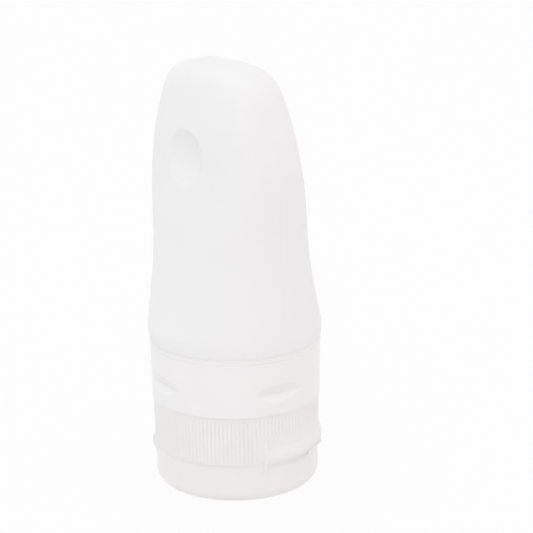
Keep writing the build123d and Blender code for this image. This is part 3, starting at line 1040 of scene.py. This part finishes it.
valve = turned(
    "slit_valve",
    dome_corners(dome_radius, dome_height, np.linspace(math.pi / 2, 0, 28))
    + dome_corners(hollow_radius, hollow_height, np.linspace(0, math.pi / 2, 14))
    + [
        (hollow_radius, valve_top, 0.1),
        (valve_radius, valve_top, 0.1),
        (valve_radius, valve_seat, 0.1),
    ],
    seal_silicone,
    angles=np.arange(0, 360, 1.0),
)
slit_half_length, slit_half_width, slit_depth = 3.3, 0.16, 0.25
face_tolerance = 0.3
for vertex in valve.data.vertices:
    x, y, z = vertex.co / MM
    from_axis = math.hypot(x, y)
    dome_share = max(0.0, 1 - (from_axis / dome_radius) ** 2)
    on_face = abs(z - valve_seat + dome_height * dome_share ** (dome_bow / 2)) < face_tolerance
    off_slit = min(abs(x + y), abs(x - y)) / math.sqrt(2)
    if on_face and from_axis < slit_half_length and off_slit < slit_half_width:
        vertex.co.z += slit_depth * (1 - (off_slit / slit_half_width) ** 2) * MM
retainer = turned("valve_ring", [
    (5.55, valve_top, 0.1),
    (valve_radius, valve_top, 0.1),
    (valve_radius, 13.4, 0.35),
    (5.55, 13.4, 0.35),
], white_polypropylene)
for piece, body, stands_for, finish in (
    (neck, "bottle", "neck_insert", "polypropylene_white"),
    (seal, "seal", "neck_seal", "silicone_seal"),
    (valve, "cap", "dispensing_valve", "silicone_seal"),
    (retainer, "cap", "valve_retainer", "polypropylene_white"),
):
    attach(piece, body)
    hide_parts(stands_for)

# %% [markdown]
# ## The flip lid
# The bottle stands on this lid, so its face is flat with a well rounded corner. Inside, a ring
# plugs round the valve's seat and a low pad stops the valve from leaking. Outside are the lower
# half of the hinge panel and, opposite it, a thumb lip that swells towards the parting line.

# %% Flip lid
lip_levels = (8.3, 8.8, 10.2, 11.0, 11.9)
lip_reaches = (24.1, 24.5, 25.35, 25.5, 25.45)
lip_half_angle, lip_fade = 27, 9


def lid_outside(radius, level, around):
    """Outer wall with the hinge panels, the lug and the thumb lip."""
    shaped = with_panel(radius, level, around)
    size = np.abs(from_direction(around, hinge_angle + 180))
    lip = np.maximum(np.interp(level, lip_levels, lip_reaches, left=0), radius)
    raised = radius + (lip - radius) * rounded_step(lip_half_angle - size, lip_fade)
    return np.where(radius > outer_wall, np.maximum(shaped, raised), radius)


lip_angles = hinge_angle + 180 + np.arange(-28, 28.1, 0.5)
lid_angles = np.unique(np.round(np.concatenate([panel_angles, lip_angles]) % 360, 3))
lid = turned("standing_lid", [
    (0, 0.25),
    (1.2, 0.25),
    (1.9, 0.0, 0.2),
    (24.35, 0.0, 4.0, 0.5),
    (24.1, lid_top, 0.08),
    (22.8, lid_top, 0.2),
    (22.8, 11.3, 0.1),
    (22.7, 10.8, 0.1),
    (22.8, 10.3, 0.1),
    (22.8, 1.5, 2.4),
    (10.95, 1.5, 0.4),
    (10.95, 9.2, 0.3),
    (9.85, 9.2, 0.3),
    (9.85, 1.5, 0.4),
    (3.2, 1.5, 0.4),
    (3.2, 6.7, 0.4),
    (0, 6.7),
], natural_polypropylene, angles=lid_angles, shaping=lid_outside)
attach(lid, "lid")
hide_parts("flip_lid")

# %% [markdown]
# ## The hinge film
# The film is a thin arch outside the parting line, 11 mm wide, that tapers at its two ends. As the
# lid opens it bends, so it is blended: its upper edge follows the cap, its lower edge follows the
# lid, and it turns smoothly in between.

# %% Hinge film
film_size, hollow_size = 0.5, 0.22
film_reach = hinge_reach - 0.15
arc_degrees = np.linspace(-90, 90, 19)
ring = [(film_size, a) for a in arc_degrees] + [(hollow_size, a) for a in arc_degrees[::-1]]
stations = [-5.5, -5.2, -4.6, -3.6, -1.8, 0, 1.8, 3.6, 4.6, 5.2, 5.5]
taper_half_width, taper_power = 5.7, 6
hinge_turn = math.radians(hinge_angle)
radial = Vector((math.cos(hinge_turn), math.sin(hinge_turn), 0))
sideways = Vector((-radial.y, radial.x, 0))
points = []
for station in stations:
    taper = (1 - abs(station / taper_half_width) ** taper_power) ** (1 / 3)
    for size, turn in ring:
        out = film_reach + size * taper * math.cos(math.radians(turn))
        level = hinge_level + size * taper * math.sin(math.radians(turn))
        points.append(tuple(radial * out + sideways * station + Vector((0, 0, level))))
count = len(ring)
faces = []
for start in range(0, len(points) - count, count):
    for k in range(count):
        after = (k + 1) % count
        faces.append((start + k, start + after, start + count + after, start + count + k))
faces += [tuple(range(count))[::-1], tuple(range(len(points) - count, len(points)))]
film = finished_mesh("living_hinge", points, faces, natural_polypropylene)
top_edge = radial * film_reach + Vector((0, 0, hinge_level + film_size))
low_edge = radial * film_reach + Vector((0, 0, hinge_level - film_size))
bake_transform(film, "cap", "lid", start=tuple(top_edge * MM), end=tuple(low_edge * MM))
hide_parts("hinge_film")
print("film blends from the cap to the lid")

# %% [markdown]
# ## Floor, background and light
# The photograph is a catalogue picture: a white object on pure white with hardly a shadow. Such
# pictures are often taken on a table of pale translucent acrylic that is lit from below. So the
# floor is mostly clear and partly pale matte: light comes through it, and the matte share keeps a
# faint shadow. It also lets the lid be seen where it swings down past the floor's level. The floor
# lies a hair below the lid's face, so that the two never fight for the same place.

# %% Floor
floor_half_size = 3
floor_drop = 0.03
shade_share = 0.08
table, tree, output = new_material("pale_acrylic_table")
matte = add_node(tree, "ShaderNodeBsdfDiffuse", {"Color": linear("#EAEAEA")})
clear = add_node(tree, "ShaderNodeBsdfTransparent", {"Color": linear("#FFFFFF")})
mixed = add_node(
    tree, "ShaderNodeMixShader", {0: shade_share, 1: clear.outputs[0], 2: matte.outputs[0]}
)
tree.links.new(mixed.outputs[0], output.inputs["Surface"])
corners = [
    (x * floor_half_size, y * floor_half_size, -floor_drop * MM)
    for x, y in ((-1, -1), (1, -1), (1, 1), (-1, 1))
]
floor_mesh = bpy.data.meshes.new("floor")
floor_mesh.from_pydata(corners, [], [(0, 1, 2, 3)])
floor_mesh.materials.append(table)
floor = new_object("floor", floor_mesh)
print("floor ready")

# %% [markdown]
# The world is a soft white room, a little brighter on the camera's left and behind the bottle, and
# dimmer below. The camera and mirrored or passed rays see plain white instead.

# %% World
world = bpy.data.worlds.new("studio")
bpy.context.scene.world = world
world.use_nodes = True
room = world.node_tree
room.nodes.clear()
calc = maths_in(room)
ray = add_node(room, "ShaderNodeTexCoord").outputs["Generated"]
to_front = Vector((to_camera.x, to_camera.y, 0)).normalized()
left_share, back_share, up_share = 0.75, 0.6, 0.15
bright_side = Vector((0, 0, up_share)) - left_share * picture_right - back_share * to_front
towards = add_node(
    room, "ShaderNodeVectorMath", {0: ray, 1: tuple(bright_side)}, operation="DOT_PRODUCT"
).outputs["Value"]
brightness = add_node(room, "ShaderNodeMapRange", {"Value": towards, "From Min": -1.0}).outputs[0]
wall_colour = add_node(room, "ShaderNodeMix", {
    "Factor": brightness, "A": linear("#FFFCFB"), "B": linear("#FDFDFF"),
}, data_type="RGBA").outputs[2]
wall_light = add_node(
    room, "ShaderNodeMapRange", {"Value": brightness, "To Min": 0.96, "To Max": 1.0}
).outputs[0]
ray_height = add_node(room, "ShaderNodeSeparateXYZ", {0: ray}).outputs["Z"]
below = add_node(room, "ShaderNodeMapRange", {
    "Value": ray_height, "From Min": -0.5, "From Max": 0.0, "To Min": 0.8, "To Max": 1.0,
}).outputs[0]
soft_light = add_node(room, "ShaderNodeBackground", {
    "Color": wall_colour, "Strength": calc("MULTIPLY", wall_light, below),
})
backdrop = add_node(room, "ShaderNodeBackground", {"Color": linear("#FFFFFF"), "Strength": 1.0})
path = add_node(room, "ShaderNodeLightPath").outputs
seen = calc("MAXIMUM", path["Is Camera Ray"], path["Is Glossy Ray"])
seen = calc("MAXIMUM", seen, path["Is Transmission Ray"])
chosen = add_node(
    room, "ShaderNodeMixShader", {0: seen, 1: soft_light.outputs[0], 2: backdrop.outputs[0]}
)
add_node(room, "ShaderNodeOutputWorld", {"Surface": chosen.outputs[0]})
print("world ready")

# %% [markdown]
# One broad, weak lamp stands in front and above. It models the round forms without a hard shadow.
# The Standard view keeps white as white.

# %% Lamp
lamp_aim = Vector((0, 0, 0.06))
lamp_right, lamp_front, lamp_height = -0.1, 0.9, 0.6
lamp = new_object("key_lamp", bpy.data.lights.new("key_lamp", "AREA"))
lamp.data.size = 0.9
lamp.data.energy = 1.0
lamp.location = picture_right * lamp_right + to_front * lamp_front + Vector((0, 0, lamp_height))
lamp.rotation_euler = (lamp_aim - lamp.location).to_track_quat("-Z", "Y").to_euler()
bpy.context.scene.view_settings.view_transform = "Standard"
print("lamp ready")
